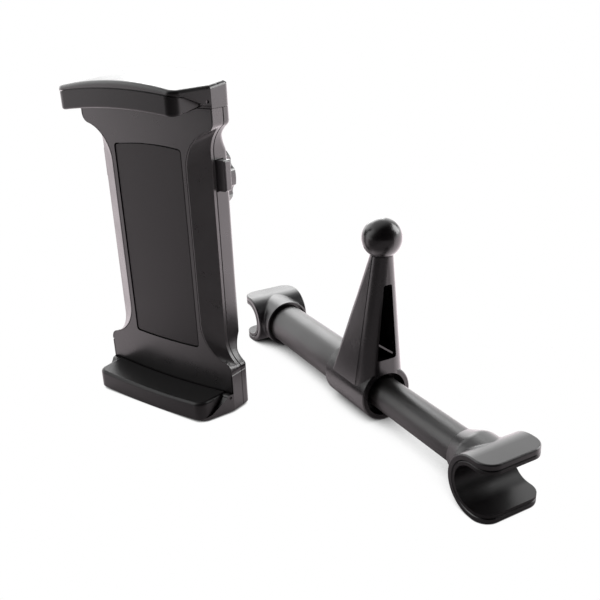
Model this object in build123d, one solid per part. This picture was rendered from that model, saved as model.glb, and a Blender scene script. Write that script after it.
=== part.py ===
from build123d import *
from math import acos, copysign, cos, hypot, sin, sqrt
import os

# Headrest tablet mount, in millimetres: a tablet cradle that stands on its lower jaw,
# and the telescoping headrest bar with its ball post, which lies beside it on its hooks.
# X is the cradle's width, -Y its front, +Z up. The origin is on the floor, under the
# middle of the cradle's front face.

# Cradle housing, seen from the front
middle_z = 75.0             # height of the narrowest place of the hourglass
flare_half = 39.0           # half width of the flared ends
waist_half = 32.4           # half width of the waist
waist_bend = 14.0           # radius from waist to flare
flare_start = 53.6          # half length at which the flare's full width begins
flare_soften = 2.5          # rounding where the flare begins
front_soften = 4.4          # the same on the front edge
lower_seam_z = 19.0         # joint between housing and lower jaw
upper_seam_z = 135.3        # joint between housing and upper jaw

# Cradle housing, in depth
rail_depth = 4.6            # depth at which the sloping side rails end
seam_y = 6.4                # joint between mid frame and rear cover
end_back_y = 11.6           # back of the housing at its two ends
spine_back_y = 16.0         # back of the raised spine
spine_half = 42.0           # half length of the spine's flat back
spine_foot = 5.0            # housing between its ends and the spine's ramps
spine_ramp = middle_z - lower_seam_z - spine_half - spine_foot
spine_soften = 5.0          # rounding at both ends of that ramp
back_round = 3.0            # rounding of the cover's rear edge
housing_wall = 2.2          # wall of the mouldings
seam_groove = 0.3           # bevel along each housing joint

# Front panel and its pad
fascia_step = 0.8           # panel inside the flared ends
fascia_flare_half = flare_half - fascia_step
fascia_waist_half = 21.9
fascia_bend = 17.0
fascia_flare_start = 51.5
fascia_thick = 2.0
fascia_bottom_z = 6.0
fascia_gap = 0.3            # joint all round the panel
fascia_rim = 0.5            # flat edge of the mid frame beside the panel
pad_half = 19.6
pad_bottom_z = 27.8
pad_top_z = 118.9
pad_arch = 1.3              # rise of the pad's upper edge
pad_bow = 0.7               # fall of the pad's lower edge
pad_corner = 1.2
pad_thick = 0.9
pad_recess = 1.2            # depth of the pocket that takes the pad
pad_gap = 0.5
pad_edge = 0.3

# Jaws
lip_front_y = -16.1         # foremost edge of the jaw pads
lip_inset = 5.5             # the jaws are this much narrower at their front edge
lip_half = flare_half - lip_inset
lip_corner = 4.5            # rounding of the front corners, in plan
pad_skirt = 1.0             # the pads' front wraps the hard shell
skirt_gap = 0.2
wall_width = 3.8            # side walls of the jaws, at the housing
wall_tip_y = -11.5          # front end of those walls
lower_wall_tip_z = 2.2
upper_wall_tip_z = 141.0
wall_inner_x = flare_half - wall_width
jaw_gap = 0.15              # joint above the housing's end
foot_flat_half = 14.0       # flat part of the underside
foot_rise = 1.2             # rise of the underside at the cradle's sides
foot_edge = 0.6             # rounding of the underside's edge
shelf_front_thick = 0.8     # lower shelf at its front
shelf_root_thick = 5.7      # lower shelf at the housing
lower_pad_mid_z = 8.6       # seat for the tablet, in the middle of its front edge
lower_pad_end_z = 10.1      # the same at the pad's ends
lower_pad_fall = 0.5        # the seat lies this much lower at the hinge
lower_skirt_mid_z = 0.4     # lower edge of the pad's front, in the middle
lower_skirt_end_z = 1.8
lower_pad_edge = 1.4        # rounding of the seat's edge
roof_mid_z = 146.4          # top of the upper jaw, middle of its front edge
roof_end_z = 143.2          # the same at the jaw's ends
roof_climb = 3.3            # rise of the top from front to back
roof_setback = 0.4          # the roof ends behind the pad's front
roof_edge = 1.5             # rounding of the top's edge
roof_under_mid_z = 143.8    # underside of the roof, middle of its front edge
roof_under_end_z = 141.6
roof_under_fall = 1.6       # fall of that underside towards the hinge
upper_pad_mid_z = 135.4     # underside of the upper pad, middle of its front edge
upper_pad_end_z = 133.2
upper_pad_climb = 3.0       # rise of that underside towards the hinge
upper_pad_edge = 1.0        # rounding of the underside's edge
brow_width = 0.9            # step all round the upper pad, below the roof
brow_depth = 0.5

# Jaw pad hinges
pin_r = 0.7
pin_y = -1.7
lower_pin_z = 8.0
upper_pin_z = 138.2
pin_length = 9.0
pin_inset = 0.8             # pin's end inside the housing's width
knuckle_r = 1.4
lug_r = 1.5                 # jaw round the pin
pad_back_y = -0.6           # pad in front of the panel
pin_fit = 0.02              # pin in its lugs
hinge_fit = 0.05            # pad on its pin
hinge_room = 0.35           # pad beside the walls
seat_gap = 0.02             # pad on its shelf or under its roof

# Guide rails of the upper jaw
guide_inner_x = 17.5
guide_width = 7.0
guide_thick = 2.4
guide_front_y = 6.65
guide_foot_room = 0.8       # rail above the cavity's floor
guide_top_z = 142.5
guide_room = 0.35
tooth_pitch = 3.0
tooth_depth = 1.0
tooth_bottom_z = 30.0
tooth_count = 27

# Release buttons
button_proud = 4.3          # button outside the waist
button_front_y = 7.6
button_front_room = 0.9     # wider gap in front of the button
button_depth = 4.2
button_height = 13.0
button_head_room = 1.3      # button below the end of the spine's hollow
button_bottom_z = middle_z + spine_half - housing_wall - button_head_room - button_height
button_round = 0.8
button_room = 0.25
flange_thick = 1.7
flange_lip = 1.0            # how far the flange stands past the button
arm_height = 4.0
arm_thick = 2.0
arm_room = 0.4              # arm behind the guide rail
pawl_thick = 1.6
pawl_reach = 1.0
pawl_room = 0.3
spring_r = 1.6
spring_wire_r = 0.25
spring_turns = 3.5
spring_end_gap = 0.1
spring_length = 7.4
spring_lift = 1.7           # spring axis above the button's lower end
post_thick = 1.6
post_lip = 0.4              # post past the spring's coil
spigot_r = 1.0
spigot_length = 2.2

# Screws
screw_r = 1.2
screw_head_r = 2.2
screw_head_thick = 1.2
screw_fit = 0.02
screw_head_room = 0.2
hole_end = 0.2              # blind holes run this far past their screws
cover_screw_inset_x = 10.2
cover_screw_inset_z = 4.6   # from the housing's two ends
cover_screw_length = 7.0
jaw_screw_x = 22.0
jaw_screw_y = 8.5
jaw_screw_sink = 0.8        # head above the underside
jaw_screw_length = 20.0
guide_screw_z = 140.2
guide_screw_length = 3.6

# Ball socket on the back
socket_z = 99.0
ball_r = 8.5
ball_room = 0.1
cup_r = 11.8
cup_mouth_r = 10.4
cup_centre_y = 29.0         # centre of the ball's seat
cup_mouth_y = 33.4
cup_taper_y = 30.4
stem_r = 9.0
stem_room = 0.02
socket_flange_r = 13.0
socket_flange_thick = 1.6
slot_count = 6
slot_width = 1.5
slot_end_y = 24.0
nut_r = 17.0
nut_front_y = 20.6
nut_back_y = 38.6
nut_room = 0.35
nut_lip_r = 9.4
nut_edge = 1.0
nut_flare = 2.0             # the mouth opens by this much
flute_count = 8
flute_r = 4.0
flute_depth = 2.0

# Headrest bar: s runs along its axis to the right hook, from the foot of the ball post
bar_x = 95.9
bar_y = 33.4
bar_yaw = -26.1
hook_r = 12.4               # outside of the hooks, which lie on the floor
tube_r = 10.0
tube_wall = 1.4
tube_left_s = -90.2
tube_right_s = -3.0
bush_wall = 1.08
rod_wall = 1.2
rod_left_s = -24.0
rod_right_s = 61.5
sleeve_left_s = -27.0
sleeve_right_s = 4.6
sleeve_bevel = 0.5
press_fit = 0.02
running_fit = 0.05
rod_r = tube_r - tube_wall - press_fit - bush_wall - running_fit

# Ball post
ball_z = 82.6
neck_half = 4.8
neck_round = 4.6
neck_top_z = 75.5
ball_neck_r = 4.6
foot_z = 15.5               # where the tower grows out of the sleeve
foot_left_s = -23.0
foot_half = 11.8
foot_round = 7.6            # rounded front of the tower
foot_back_round = 2.0
crease = 0.3                # groove between cheek and rounded front
pocket_top_z = 63.5
pocket_top_half = 2.0
pocket_top_left_s = -4.0
pocket_top_round = 0.9
pocket_foot_z = 29.3
pocket_foot_half = 4.9
pocket_foot_left_s = -15.0
pocket_foot_round = 1.2
rib_thick = 0.9
rib_low_z = 29.6
rib_high_z = 37.0
rib_front_s = 3.4

# Hooks
hook_length = 28.8          # along the headrest post
hook_wall = 2.4
hook_lip = 7.8              # straight lips past the middle of the channel
hook_corner = 6.5
right_hook_s = 75.2         # middle of the channels
left_hook_s = -104.2
hook_edge = 0.7             # rounding of the hooks' outer edges
liner_bevel = 0.3           # bevels along the joint of hook and liner
collar_r = 11.4
collar_blend = 2.0          # rounding where the collar meets the band
left_collar_r = 12.1
left_collar_blend = 1.2
right_collar_s = 55.0
left_collar_s = -86.8
collar_mouth_r = 8.3        # the right collar widens from here
collar_taper = 7.0          # over this length
collar_round = 6.0          # rounding at the end of that taper
left_collar_round = 0.4
collar_mouth = 1.3          # wider mouth of the left collar
collar_mouth_depth = 2.5
liner_thick = 1.5
liner_gap = 0.12
plug_length = 5.0
hook_screw_r = 1.3
hook_screw_head_r = 2.4
hook_screw_head_thick = 1.4
hook_screw_length = 8.0
hook_screw_sink = 1.8       # head below the channel's wall

# Telescope guide and twist lock
bush_length = 9.8
bush_setback = 0.2
spindle_plug_length = 8.0
spindle_flange_thick = 1.2
spindle_flange_step = 0.25  # flange inside the rod's outside
stub_r = 4.6
collet_length = 8.0
collet_room = 0.3
collet_slit = 1.2
spindle_head_r = 6.0
spindle_head_thick = 1.2

# Construction
overcut = 1.0               # cuts and blanks run this far past a face


def along_x(sketch, x0, x1):
    """Extrude a side view, drawn as (Y, Z), from x0 to x1."""
    return extrude(Plane.YZ.offset(x0) * sketch, x1 - x0)


def along_y(sketch, y0, y1):
    """Extrude a front view, drawn as (X, Z), from y0 to y1."""
    return extrude(Plane.XZ.offset(-y1) * sketch, y1 - y0)


def along_z(sketch, z0, z1):
    """Extrude a plan, drawn as (X, Y), from z0 to z1."""
    return extrude(Plane.XY.offset(z0) * sketch, z1 - z0)


def sloping_y(sketch, y0, y1, rise):
    """Extrude a front view from y0 to y1, rising on the way."""
    length = hypot(y1 - y0, rise)
    return extrude(Plane.XZ.offset(-y0) * sketch, length, dir=(0, y1 - y0, rise))


def box(x0, x1, y0, y1, z0, z1):
    centre = Pos((x0 + x1) / 2, (y0 + y1) / 2, (z0 + z1) / 2)
    return centre * Box(x1 - x0, y1 - y0, z1 - z0)


def rod_x(radius, x0, x1, y=0.0, z=0.0):
    return Pos((x0 + x1) / 2, y, z) * Rot(0, 90, 0) * Cylinder(radius, x1 - x0)


def rod_y(radius, y0, y1, x=0.0, z=0.0):
    return Pos(x, (y0 + y1) / 2, z) * Rot(90, 0, 0) * Cylinder(radius, y1 - y0)


def rod_z(radius, z0, z1, x=0.0, y=0.0):
    return Pos(x, y, (z0 + z1) / 2) * Cylinder(radius, z1 - z0)


def both_sides(solid):
    """A left and a right copy, mirrored in the cradle's middle plane."""
    return solid + mirror(solid, Plane.YZ)


def hourglass(flare, waist, bend, corner_z, bottom, top, soften=0.0):
    """Front view of the cradle: flared ends, narrow waist, arcs between them."""
    bend = max(bend, flare - waist)
    turn = acos(1 - (flare - waist) / bend)
    straight = corner_z - bend * sin(turn)
    half_x = waist + bend * (1 - cos(turn / 2))
    half_z = straight + bend * sin(turn / 2)
    low = middle_z - straight
    high = middle_z + straight
    foot = min(bottom, middle_z - corner_z - soften - overcut)
    head = max(top, middle_z + corner_z + soften + overcut)
    edges = [Line((-flare, foot), (flare, foot)), Line((-flare, head), (flare, head))]
    for side in (-1, 1):
        edges.append(Line((side * flare, foot), (side * flare, middle_z - corner_z)))
        edges.append(
            ThreePointArc(
                (side * flare, middle_z - corner_z),
                (side * half_x, middle_z - half_z),
                (side * waist, low),
            )
        )
        edges.append(Line((side * waist, low), (side * waist, high)))
        edges.append(
            ThreePointArc(
                (side * waist, high),
                (side * half_x, middle_z + half_z),
                (side * flare, middle_z + corner_z),
            )
        )
        edges.append(Line((side * flare, middle_z + corner_z), (side * flare, head)))
    face = make_face(edges)
    room = min(middle_z - bottom, top - middle_z) - corner_z
    if soften and room > 0:
        corners = [v for v in face.vertices() if abs(abs(v.Y - middle_z) - corner_z) < 0.01]
        face = fillet(corners, min(soften, room))
    clip = Rectangle(2 * (flare + overcut), top - bottom)
    return face & Pos(0, (bottom + top) / 2) * clip


def arched(half, end_z, mid_z, flat_z):
    """Front view of all that lies between an arc across the jaw and a level line."""
    return make_face(
        [
            Line((-half, flat_z), (half, flat_z)),
            Line((half, flat_z), (half, end_z)),
            ThreePointArc((half, end_z), (0, mid_z), (-half, end_z)),
            Line((-half, end_z), (-half, flat_z)),
        ]
    )


def arc_at(half, end_z, mid_z, x):
    """Height of such an arc at another half width, taken as a parabola."""
    return mid_z + (end_z - mid_z) * (x / half) ** 2


def jaw_plan(front_y, front_half, root_half, root_y, back_y, back_round=0.0):
    """Plan of a jaw: rounded front corners, sides that widen to the housing."""
    points = [
        (-front_half, front_y),
        (front_half, front_y),
        (root_half, root_y),
        (root_half, back_y),
        (-root_half, back_y),
        (-root_half, root_y),
    ]
    face = make_face(Polyline(*points, close=True))
    front = [v for v in face.vertices() if abs(v.Y - front_y) < 0.01]
    face = fillet(front, lip_corner)
    if back_round:
        rear = [v for v in face.vertices() if abs(v.Y - back_y) < 0.01]
        face = fillet(rear, back_round)
    return face


def outer_outline(bottom, top):
    return hourglass(flare_half, waist_half, waist_bend, flare_start, bottom, top, flare_soften)


def fascia_outline(gap, bottom, top):
    return hourglass(
        fascia_flare_half + gap,
        fascia_waist_half + gap,
        fascia_bend,
        fascia_flare_start,
        bottom,
        top,
        front_soften - fascia_step + gap,
    )


def fascia_recess():
    """Space that the front panel takes out of the housing and the lower jaw."""
    outline = fascia_outline(fascia_gap, fascia_bottom_z - fascia_gap, upper_seam_z + overcut)
    return along_y(outline, -overcut, fascia_thick)


def cover_screw_places():
    low = lower_seam_z + cover_screw_inset_z
    high = upper_seam_z - cover_screw_inset_z
    x = flare_half - cover_screw_inset_x
    return [(-x, low), (-x, high), (x, low), (x, high)]


def grip_pad_outline(gap):
    half = pad_half + gap
    low = pad_bottom_z - gap
    high = pad_top_z + gap
    face = make_face(
        [
            ThreePointArc((-half, high - pad_arch), (0, high), (half, high - pad_arch)),
            Line((half, high - pad_arch), (half, low + pad_bow)),
            ThreePointArc((half, low + pad_bow), (0, low), (-half, low + pad_bow)),
            Line((-half, low + pad_bow), (-half, high - pad_arch)),
        ]
    )
    return fillet(face.vertices(), pad_corner + gap)


def make_fascia():
    top = upper_seam_z - jaw_gap
    panel = along_y(fascia_outline(0, fascia_bottom_z, top), 0, fascia_thick)
    return panel - along_y(grip_pad_outline(pad_gap), -overcut, pad_recess)


def make_grip_pad():
    pad = along_y(grip_pad_outline(0), pad_recess - pad_thick, pad_recess)
    return fillet(pad.faces().sort_by(Axis.Y)[0].edges(), pad_edge)


def cavity_outline(half):
    return hourglass(
        half + flare_half - waist_half,
        half,
        waist_bend,
        flare_start,
        lower_seam_z + 2 * cover_screw_inset_z,
        upper_seam_z - 2 * cover_screw_inset_z,
    )


def make_mid_frame():
    front = hourglass(
        flare_half,
        fascia_waist_half + fascia_gap + fascia_rim,
        fascia_bend,
        fascia_flare_start,
        lower_seam_z,
        upper_seam_z,
        front_soften,
    )
    outer = outer_outline(lower_seam_z, upper_seam_z)
    sections = [Plane.XZ * front, Plane.XZ.offset(-rail_depth) * outer]
    frame = loft(sections, ruled=True) + along_y(outer, rail_depth, seam_y)
    rear = frame.faces().sort_by(Axis.Y)[-1]
    frame = chamfer(rear.edges(), seam_groove)
    frame -= fascia_recess()
    floor_y = fascia_thick + housing_wall
    frame -= along_y(cavity_outline(waist_half - 2 * housing_wall), floor_y, seam_y)
    head_y = fascia_thick + screw_head_thick + screw_head_room
    for x, z in cover_screw_places():
        frame -= rod_y(screw_head_r + screw_head_room, 0, head_y, x, z)
        frame -= rod_y(screw_r + screw_head_room, 0, seam_y, x, z)
    return frame


def make_cover_screws():
    head_y = fascia_thick + screw_head_room
    shank_y = head_y + screw_head_thick
    screws = []
    for x, z in cover_screw_places():
        screw = rod_y(screw_head_r, head_y, shank_y, x, z)
        screws.append(screw + rod_y(screw_r, shank_y, shank_y + cover_screw_length, x, z))
    return Compound(children=screws)


def make_rear_cover():
    cover = cover_blank()
    inner_half = waist_half - housing_wall
    guide_back_y = guide_front_y + guide_thick + guide_room
    cover -= along_y(cavity_outline(inner_half), seam_y, guide_back_y)
    deep = spine_half - housing_wall
    deep_y = spine_back_y - housing_wall
    cover -= box(-inner_half, inner_half, seam_y, deep_y, middle_z - deep, middle_z + deep)
    channel = box(
        guide_inner_x - guide_room,
        guide_inner_x + guide_width + guide_room,
        seam_y,
        guide_back_y,
        middle_z,
        upper_seam_z,
    )
    cover -= both_sides(channel)
    window = box(
        inner_half - overcut,
        waist_half + overcut,
        button_front_y - button_front_room,
        button_front_y + button_depth + button_room,
        button_bottom_z - button_room,
        button_bottom_z + button_height + button_room,
    )
    cover -= both_sides(window)
    post = box(
        spring_root_x() - post_thick,
        spring_root_x(),
        spring_axis_y() - spring_r - post_lip / 2,
        deep_y,
        spring_axis_z() - spring_r - post_lip,
        spring_axis_z() + spring_r + post_lip,
    )
    spigot = rod_x(
        spigot_r,
        spring_root_x(),
        spring_root_x() + spigot_length,
        spring_axis_y(),
        spring_axis_z(),
    )
    cover += both_sides(post + spigot)
    screw_end = fascia_thick + screw_head_room + screw_head_thick + cover_screw_length
    for x, z in cover_screw_places():
        cover -= rod_y(screw_r + screw_fit, seam_y, screw_end + hole_end, x, z)
    for x in (-jaw_screw_x, jaw_screw_x):
        top = jaw_screw_seat_z() + jaw_screw_length + hole_end
        cover -= rod_z(screw_r + screw_fit, lower_seam_z, top, x, jaw_screw_y)
    return cover - rod_y(stem_r + stem_room, deep_y - overcut, spine_back_y + overcut, 0, socket_z)


def cover_blank():
    """Rear cover before it is hollowed: the housing's outline, raised along the waist."""
    ramp_z = spine_half + spine_ramp
    side = make_face(
        Polyline(
            (seam_y, lower_seam_z),
            (end_back_y, lower_seam_z),
            (end_back_y, middle_z - ramp_z),
            (spine_back_y, middle_z - spine_half),
            (spine_back_y, middle_z + spine_half),
            (end_back_y, middle_z + ramp_z),
            (end_back_y, upper_seam_z),
            (seam_y, upper_seam_z),
            close=True,
        )
    )
    bends = [v for v in side.vertices() if abs(v.Y - middle_z) < ramp_z + 0.01]
    blank = along_x(fillet(bends, spine_soften), -flare_half, flare_half)
    blank &= along_y(outer_outline(lower_seam_z, upper_seam_z), seam_y, spine_back_y)
    blank = chamfer(blank.faces().sort_by(Axis.Y)[0].edges(), seam_groove)
    rim = []
    for edge in blank.edges():
        extent = edge.bounding_box()
        if extent.min.Y > end_back_y - 0.01 and extent.size.Z > 0.01:
            if abs(edge.center().X) > waist_half - 0.01:
                rim.append(edge)
    return fillet(rim, back_round)


def spring_root_x():
    return flange_inner_x() - spring_length


def spring_axis_y():
    return guide_front_y + guide_thick + guide_room + spring_r + post_lip


def spring_axis_z():
    return button_bottom_z + spring_lift


def flange_inner_x():
    return waist_half - housing_wall - button_room - flange_thick


def make_release_button():
    """Right-hand button with its flange, arm and pawl."""
    flange_x = flange_inner_x()
    back_y = button_front_y + button_depth
    top_z = button_bottom_z + button_height
    out_x = waist_half + button_proud
    cap = box(flange_x, out_x, button_front_y, back_y, button_bottom_z, top_z)
    outer = cap.faces().sort_by(Axis.X)[-1]
    cap = fillet(outer.edges(), button_round)
    flange = box(
        flange_x,
        flange_x + flange_thick,
        button_front_y - button_front_room,
        back_y + flange_lip,
        button_bottom_z - flange_lip,
        top_z + flange_lip,
    )
    arm_y = guide_front_y + guide_thick + arm_room
    arm_z = button_bottom_z + (button_height - arm_height) / 2
    pawl_x = guide_inner_x - pawl_room
    heel_x = pawl_x - pawl_reach - pawl_thick
    arm = box(heel_x, flange_x + overcut, arm_y, arm_y + arm_thick, arm_z, arm_z + arm_height)
    tooth = make_face(
        Polyline(
            (heel_x, arm_z),
            (heel_x + pawl_thick, arm_z),
            (pawl_x, arm_z + arm_height / 2),
            (heel_x + pawl_thick, arm_z + arm_height),
            (heel_x, arm_z + arm_height),
            close=True,
        )
    )
    pawl = along_y(tooth, guide_front_y, arm_y + arm_thick)
    return cap + flange + arm + pawl


def make_release_spring():
    """Right-hand coil spring between the post and the button's flange."""
    height = spring_length - 2 * spring_wire_r - 2 * spring_end_gap
    coil = Helix(height / spring_turns, height, spring_r)
    section = Plane(coil @ 0, z_dir=coil % 0) * Circle(spring_wire_r)
    spring = sweep(section, path=coil, is_frenet=True)
    start_x = spring_root_x() + spring_wire_r + spring_end_gap
    return Pos(start_x, spring_axis_y(), spring_axis_z()) * Rot(0, 90, 0) * spring


def make_guide_rail():
    """Right-hand strip with a fine rack on its inner edge."""
    outer_x = guide_inner_x + guide_width
    root_x = guide_inner_x + tooth_depth
    low = guide_bottom_z()
    points = [(outer_x, low), (outer_x, guide_top_z), (guide_inner_x, guide_top_z)]
    for number in range(tooth_count, 0, -1):
        tip_z = tooth_bottom_z + number * tooth_pitch
        points.append((guide_inner_x, tip_z))
        points.append((root_x, tip_z - tooth_pitch / 3))
        points.append((guide_inner_x, tip_z - tooth_pitch * 2 / 3))
    points.append((guide_inner_x, low))
    strip = make_face(Polyline(*points, close=True))
    rail = along_y(strip, guide_front_y, guide_front_y + guide_thick)
    return rail - guide_screw_hole()


def guide_bottom_z():
    return lower_seam_z + 2 * cover_screw_inset_z + guide_foot_room


def guide_screw_x():
    return guide_inner_x + guide_width / 2


def guide_screw_hole():
    return rod_y(screw_r + screw_fit, 0, end_back_y + overcut, guide_screw_x(), guide_screw_z)


def make_rail_screws():
    head_y = end_back_y - screw_head_thick - screw_head_room
    screws = []
    for x in (-guide_screw_x(), guide_screw_x()):
        head = rod_y(screw_head_r, head_y, head_y + screw_head_thick, x, guide_screw_z)
        screws.append(head + rod_y(screw_r, head_y - guide_screw_length, head_y, x, guide_screw_z))
    return Compound(children=screws)


def jaw_walls(pin_z, tip_z, base_z):
    """Side walls of a jaw, from base_z to a line that climbs from their tip to the pin."""
    edge_z = pin_z + copysign(lug_r, pin_z - base_z)
    side = make_face(
        Polyline(
            (wall_tip_y, base_z),
            (wall_tip_y, tip_z),
            (pin_y, edge_z),
            (fascia_thick, edge_z),
            (fascia_thick, base_z),
            close=True,
        )
    )
    wall = along_x(side, wall_inner_x, flare_half)
    return both_sides(wall + rod_x(lug_r, wall_inner_x, flare_half, pin_y, pin_z))


def pin_outer_x():
    return flare_half - pin_inset


def pin_inner_x():
    return pin_outer_x() - pin_length


def wall_pin_holes(pin_z):
    radius = pin_r + pin_fit
    return both_sides(rod_x(radius, wall_inner_x - overcut, flare_half, pin_y, pin_z))


def make_jaw_pin(pin_z):
    """The two short pins of one jaw."""
    right = rod_x(pin_r, pin_inner_x(), pin_outer_x(), pin_y, pin_z)
    return Compound(children=[right, mirror(right, Plane.YZ)])


def jaw_screw_seat_z():
    return jaw_screw_sink + screw_head_thick


def foot_outline():
    """Front view of the lower jaw: flat foot, sides that sweep up."""
    end_x = flare_half + 1
    return make_face(
        [
            Line((-foot_flat_half, 0), (foot_flat_half, 0)),
            TangentArc((foot_flat_half, 0), (end_x, foot_rise), tangent=(1, 0)),
            Line((end_x, foot_rise), (end_x, lower_seam_z)),
            Line((end_x, lower_seam_z), (-end_x, lower_seam_z)),
            Line((-end_x, lower_seam_z), (-end_x, foot_rise)),
            TangentArc((-foot_flat_half, 0), (-end_x, foot_rise), tangent=(-1, 0)),
        ]
    )


def shelf_top_z():
    """Top of the lower shelf at its front edge."""
    return shelf_front_thick + foot_rise * (lip_half / flare_half) ** 2


def bottom_rim(solid):
    """Edges all round the underside."""
    under = [f for f in solid.faces() if f.normal_at().Z < -0.8]
    rim = []
    for edge in solid.edges():
        owners = [f for f in under if edge in f.edges()]
        if len(owners) == 1:
            rim.append(edge)
    return rim


def side_grooves():
    """The housing's rear joint runs on down the lower jaw as a groove."""
    size = seam_groove * sqrt(2)
    height = lower_seam_z - shelf_top_z()
    groove = Rot(0, 0, 45) * Box(size, size, height)
    return both_sides(Pos(flare_half, seam_y, lower_seam_z - height / 2) * groove)


def make_lower_jaw():
    shell_y = lip_front_y + pad_skirt + skirt_gap
    side = make_face(
        Polyline(
            (shell_y, 0),
            (end_back_y, 0),
            (end_back_y, lower_seam_z),
            (0, lower_seam_z),
            (0, shelf_root_thick),
            (shell_y, shelf_top_z()),
            close=True,
        )
    )
    plan = jaw_plan(shell_y, lip_half, flare_half, 0, end_back_y, back_round)
    jaw = along_x(side, -flare_half, flare_half)
    jaw += jaw_walls(lower_pin_z, lower_wall_tip_z, 0)
    jaw &= along_y(foot_outline(), shell_y, end_back_y)
    jaw &= along_z(plan, 0, lower_seam_z)
    jaw = fillet(bottom_rim(jaw), foot_edge)
    top = jaw.faces().sort_by(Axis.Z)[-1]
    jaw = chamfer(top.edges(), 2 * seam_groove)
    jaw -= fascia_recess() + side_grooves()
    jaw -= wall_pin_holes(lower_pin_z)
    seat_z = jaw_screw_seat_z()
    for x in (-jaw_screw_x, jaw_screw_x):
        jaw -= rod_z(screw_head_r + screw_head_room, -overcut, seat_z, x, jaw_screw_y)
        jaw -= rod_z(screw_r + screw_head_room, 0, lower_seam_z, x, jaw_screw_y)
    return jaw


def make_jaw_screws():
    seat_z = jaw_screw_seat_z()
    screws = []
    for x in (-jaw_screw_x, jaw_screw_x):
        head = rod_z(screw_head_r, jaw_screw_sink, seat_z, x, jaw_screw_y)
        screws.append(head + rod_z(screw_r, seat_z, seat_z + jaw_screw_length, x, jaw_screw_y))
    return Compound(children=screws)


def pad_plan():
    return jaw_plan(lip_front_y, lip_half, pad_side_x(), pin_y - knuckle_r, pad_back_y)


def pad_side_x():
    return wall_inner_x - hinge_room


def pad_knuckles(pin_z):
    """Round ends of a pad's hinge edge, and the blind holes in them."""
    inner_x = pin_inner_x()
    knuckle = rod_x(knuckle_r, inner_x, pad_side_x(), pin_y, pin_z)
    hole = rod_x(pin_r + hinge_fit, inner_x - hole_end, wall_inner_x, pin_y, pin_z)
    return both_sides(knuckle), both_sides(hole)


def free_rim(face):
    """Edges of a pad's tablet face, apart from the one at its hinge."""
    return [e for e in face.edges() if e.center().Y < pad_back_y - 0.01]


def make_lower_jaw_pad():
    seat = arched(
        flare_half,
        arc_at(lip_half, lower_pad_end_z, lower_pad_mid_z, flare_half),
        lower_pad_mid_z,
        -overcut,
    )
    pad = sloping_y(seat, lip_front_y, pad_back_y, -lower_pad_fall)
    pad &= along_z(pad_plan(), 0, lower_seam_z)
    pad = fillet(free_rim(pad.faces().sort_by(Axis.Z)[-1]), lower_pad_edge)
    skirt_y = lip_front_y + pad_skirt
    skirt = arched(
        flare_half,
        arc_at(lip_half, lower_skirt_end_z, lower_skirt_mid_z, flare_half),
        lower_skirt_mid_z,
        -overcut,
    )
    pad -= along_y(skirt, lip_front_y - overcut, skirt_y)
    shelf_slope = (shelf_root_thick - shelf_top_z()) / (skirt_y + skirt_gap)
    below = make_face(
        Polyline(
            (skirt_y, -overcut),
            (skirt_y, shelf_top_z() + shelf_slope * skirt_gap + seat_gap),
            (pin_y, shelf_root_thick - shelf_slope * pin_y + seat_gap),
            (0, shelf_root_thick + hinge_room),
            (0, -overcut),
            close=True,
        )
    )
    pad -= along_x(below, -flare_half, flare_half)
    knuckles, holes = pad_knuckles(lower_pin_z)
    return pad + knuckles - holes


def roof_under(y0, y1, gap):
    """Space below the upper jaw's roof, from y0 to y1."""
    slope = roof_under_fall / (pin_y - lip_front_y)
    start = -slope * (y0 - lip_front_y) - gap
    half = flare_half + overcut
    under = arched(
        half,
        arc_at(lip_half, roof_under_end_z, roof_under_mid_z, half) + start,
        roof_under_mid_z + start,
        middle_z,
    )
    return sloping_y(under, y0, y1, -slope * (y1 - y0))


def make_upper_jaw():
    shell_y = lip_front_y + roof_setback
    low_z = upper_seam_z + jaw_gap
    half = flare_half + overcut
    top = arched(half, arc_at(lip_half, roof_end_z, roof_mid_z, half), roof_mid_z, middle_z)
    block = sloping_y(top, shell_y, end_back_y, roof_climb)
    plan = jaw_plan(shell_y, lip_half, flare_half, 0, end_back_y, back_round)
    block &= along_z(plan, low_z, roof_mid_z + roof_climb + overcut)
    block = fillet(block.faces().sort_by(Axis.Z)[-1].edges(), roof_edge)
    jaw = block - roof_under(lip_front_y - overcut, 0, 0)
    jaw += jaw_walls(upper_pin_z, upper_wall_tip_z, roof_mid_z) & block
    jaw -= wall_pin_holes(upper_pin_z)
    slot = box(
        guide_inner_x - press_fit,
        guide_inner_x + guide_width + press_fit,
        guide_front_y - press_fit,
        guide_front_y + guide_thick + press_fit,
        low_z - overcut,
        guide_top_z + press_fit,
    )
    jaw -= both_sides(slot)
    head_y = end_back_y - screw_head_thick - screw_head_room
    for x in (-guide_screw_x(), guide_screw_x()):
        jaw -= rod_y(screw_head_r + screw_head_room, head_y, end_back_y + overcut, x, guide_screw_z)
        jaw -= rod_y(screw_r + screw_fit, guide_front_y - overcut, end_back_y, x, guide_screw_z)
    return jaw


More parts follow.
